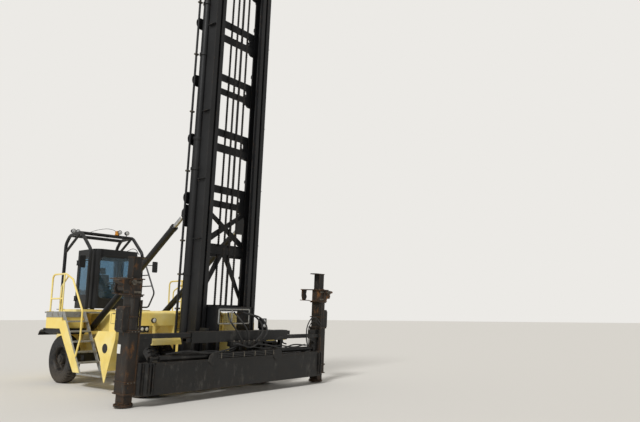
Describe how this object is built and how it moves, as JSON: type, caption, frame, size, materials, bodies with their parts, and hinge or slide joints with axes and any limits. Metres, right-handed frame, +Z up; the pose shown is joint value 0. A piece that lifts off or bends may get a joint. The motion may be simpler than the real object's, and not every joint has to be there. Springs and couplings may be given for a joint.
{
  "type": "empty container handler",
  "caption": "Tall two-stage mast machine that lifts empty shipping containers with a telescoping side spreader on a four-wheeled chassis.",
  "frame": {"origin": "on the ground under the middle of the machine's box", "axes": "+Z up the mast, -Y forward to the spreader, +X to the driver's left"},
  "size_m": [6.66, 7.5028, 10.9892],
  "materials": {
    "yellow_paint": "gloss",
    "black_paint": "satin",
    "cast_parts": "matte",
    "galvanised_steel": "matte",
    "window_glass": "gloss",
    "cab_trim": "matte",
    "lamp_lens": "gloss",
    "chromed_rods": "gloss",
    "chain_steel": "satin",
    "worn_steel": "satin",
    "tyre_rubber": "matte",
    "rim_paint": "satin"
  },
  "bodies": {
    "chassis": {"chassis_frame": "yellow_paint", "drive_axle": "black_paint", "steer_axle": "black_paint", "counterweight": "yellow_paint", "engine_block": "cast_parts", "hood": "yellow_paint", "side_boxes": "yellow_paint", "stairs": "galvanised_steel", "handrails": "yellow_paint", "front_fenders": "yellow_paint", "rear_decks": "yellow_paint", "wheel_arches": "black_paint", "cab_shell": "black_paint", "cab_glass": "window_glass", "cab_interior": "cab_trim", "cab_guard": "black_paint", "work_lamps": "lamp_lens"},
    "door_r": {"door_r": "black_paint", "door_glass_r": "window_glass"},
    "door_l": {"door_l": "black_paint", "door_glass_l": "window_glass"},
    "outer_mast": {"mast_rails": "black_paint", "mast_plates": "black_paint", "lift_barrels": "black_paint", "mast_pipes": "black_paint"},
    "inner_mast": {"inner_mast": "black_paint", "lift_rods": "chromed_rods", "chain_returns": "chain_steel"},
    "carriage": {"carriage": "black_paint", "lift_chains": "chain_steel"},
    "spreader": {"spreader_frame": "black_paint", "main_beam": "black_paint"},
    "arm_r": {"arm_r": "black_paint", "post_r": "black_paint"},
    "arm_l": {"arm_l": "black_paint", "post_l": "black_paint"},
    "head_r": {"head_r": "black_paint"},
    "head_l": {"head_l": "black_paint"},
    "twistlock_r": {"twistlock_r": "worn_steel"},
    "twistlock_l": {"twistlock_l": "worn_steel"},
    "tilt_barrel_r": {"tilt_barrel_r": "black_paint"},
    "tilt_barrel_l": {"tilt_barrel_l": "black_paint"},
    "tilt_rod_r": {"tilt_rod_r": "chromed_rods"},
    "tilt_rod_l": {"tilt_rod_l": "chromed_rods"},
    "drive_wheel_r": {"drive_tyres_r": "tyre_rubber", "drive_rims_r": "rim_paint"},
    "drive_wheel_l": {"drive_tyres_l": "tyre_rubber", "drive_rims_l": "rim_paint"},
    "knuckle_r": {"knuckle_r": "cast_parts"},
    "knuckle_l": {"knuckle_l": "cast_parts"},
    "steer_wheel_r": {"steer_tyre_r": "tyre_rubber", "steer_rim_r": "rim_paint"},
    "steer_wheel_l": {"steer_tyre_l": "tyre_rubber", "steer_rim_l": "rim_paint"}
  },
  "joints": [
    {"name": "mast_tilt", "type": "hinge", "parent": "chassis", "child": "outer_mast", "pos_m": [0, -2.33455, 0.615], "axis": [1, 0, 0], "range_deg": [-6, 1.5]},
    {"name": "mast_lift", "type": "slide", "parent": "outer_mast", "child": "inner_mast", "axis": [0, -0.0436, 0.999], "range_m": [0, 8.2], "deforming": ["chain_returns"]},
    {"name": "carriage_lift", "type": "slide", "parent": "inner_mast", "child": "carriage", "axis": [0, -0.0436, 0.999], "range_m": [0, 8.2], "deforming": ["lift_chains"]},
    {"name": "side_shift", "type": "slide", "parent": "carriage", "child": "spreader", "axis": [1, 0, 0], "range_m": [-0.3, 0.3]},
    {"name": "arm_r_extend", "type": "slide", "parent": "spreader", "child": "arm_r", "axis": [-1, 0, 0], "range_m": [0, 3.065]},
    {"name": "arm_l_extend", "type": "slide", "parent": "spreader", "child": "arm_l", "axis": [1, 0, 0], "range_m": [0, 3.065]},
    {"name": "head_r_raise", "type": "slide", "parent": "arm_r", "child": "head_r", "axis": [0, -0.0436, 0.999], "range_m": [0, 0.31]},
    {"name": "twistlock_r_turn", "type": "hinge", "parent": "head_r", "child": "twistlock_r", "pos_m": [-3.05, -3.46337, 2.39746], "axis": [0, 0.999, 0.0436], "range_deg": [0, 90]},
    {"name": "head_l_raise", "type": "slide", "parent": "arm_l", "child": "head_l", "axis": [0, -0.0436, 0.999], "range_m": [0, 0.31]},
    {"name": "twistlock_l_turn", "type": "hinge", "parent": "head_l", "child": "twistlock_l", "pos_m": [3.05, -3.46337, 2.39746], "axis": [0, 0.999, 0.0436], "range_deg": [0, 90]},
    {"name": "tilt_barrel_r_swing", "type": "hinge", "parent": "chassis", "child": "tilt_barrel_r", "pos_m": [-0.955, 1.51545, 1.4], "axis": [1, 0, 0], "range_deg": [-2.7, 0.7]},
    {"name": "tilt_rod_r_stroke", "type": "slide", "parent": "tilt_barrel_r", "child": "tilt_rod_r", "axis": [0, -0.8161, 0.5779], "range_m": [-0.31, 0.08]},
    {"name": "tilt_barrel_l_swing", "type": "hinge", "parent": "chassis", "child": "tilt_barrel_l", "pos_m": [0.955, 1.51545, 1.4], "axis": [1, 0, 0], "range_deg": [-2.7, 0.7]},
    {"name": "tilt_rod_l_stroke", "type": "slide", "parent": "tilt_barrel_l", "child": "tilt_rod_l", "axis": [0, -0.8161, 0.5779], "range_m": [-0.31, 0.08]},
    {"name": "drive_wheel_r_spin", "type": "hinge", "parent": "chassis", "child": "drive_wheel_r", "pos_m": [-1.7, -2.33455, 0.615], "axis": [1, 0, 0], "continuous": true},
    {"name": "drive_wheel_l_spin", "type": "hinge", "parent": "chassis", "child": "drive_wheel_l", "pos_m": [1.7, -2.33455, 0.615], "axis": [1, 0, 0], "continuous": true},
    {"name": "steer_r", "type": "hinge", "parent": "chassis", "child": "knuckle_r", "pos_m": [-1.33, 1.56545, 0.615], "axis": [0, 0, 1], "range_deg": [-50, 50]},
    {"name": "steer_wheel_r_spin", "type": "hinge", "parent": "knuckle_r", "child": "steer_wheel_r", "pos_m": [-1.632, 1.56545, 0.615], "axis": [1, 0, 0], "continuous": true},
    {"name": "steer_l", "type": "hinge", "parent": "chassis", "child": "knuckle_l", "pos_m": [1.33, 1.56545, 0.615], "axis": [0, 0, 1], "range_deg": [-50, 50]},
    {"name": "steer_wheel_l_spin", "type": "hinge", "parent": "knuckle_l", "child": "steer_wheel_l", "pos_m": [1.632, 1.56545, 0.615], "axis": [1, 0, 0], "continuous": true},
    {"name": "door_r_swing", "type": "hinge", "parent": "chassis", "child": "door_r", "pos_m": [-0.754, 2.97745, 2.7], "axis": [0, 0, -1], "range_deg": [0, 90]},
    {"name": "door_l_swing", "type": "hinge", "parent": "chassis", "child": "door_l", "pos_m": [0.754, 2.97745, 2.7], "axis": [0, 0, 1], "range_deg": [0, 90]}
  ],
  "couplings": [
    {"joint": "carriage_lift", "follows": "mast_lift", "ratio": 1},
    {"joint": "arm_l_extend", "follows": "arm_r_extend", "ratio": 1},
    {"joint": "steer_l", "follows": "steer_r", "ratio": 1},
    {"joint": "tilt_barrel_r_swing", "follows": "mast_tilt", "ratio": 0.43735},
    {"joint": "tilt_rod_r_stroke", "follows": "mast_tilt", "m_per_rad": 2.9071},
    {"joint": "tilt_barrel_l_swing", "follows": "mast_tilt", "ratio": 0.43735},
    {"joint": "tilt_rod_l_stroke", "follows": "mast_tilt", "m_per_rad": 2.9071}
  ]
}
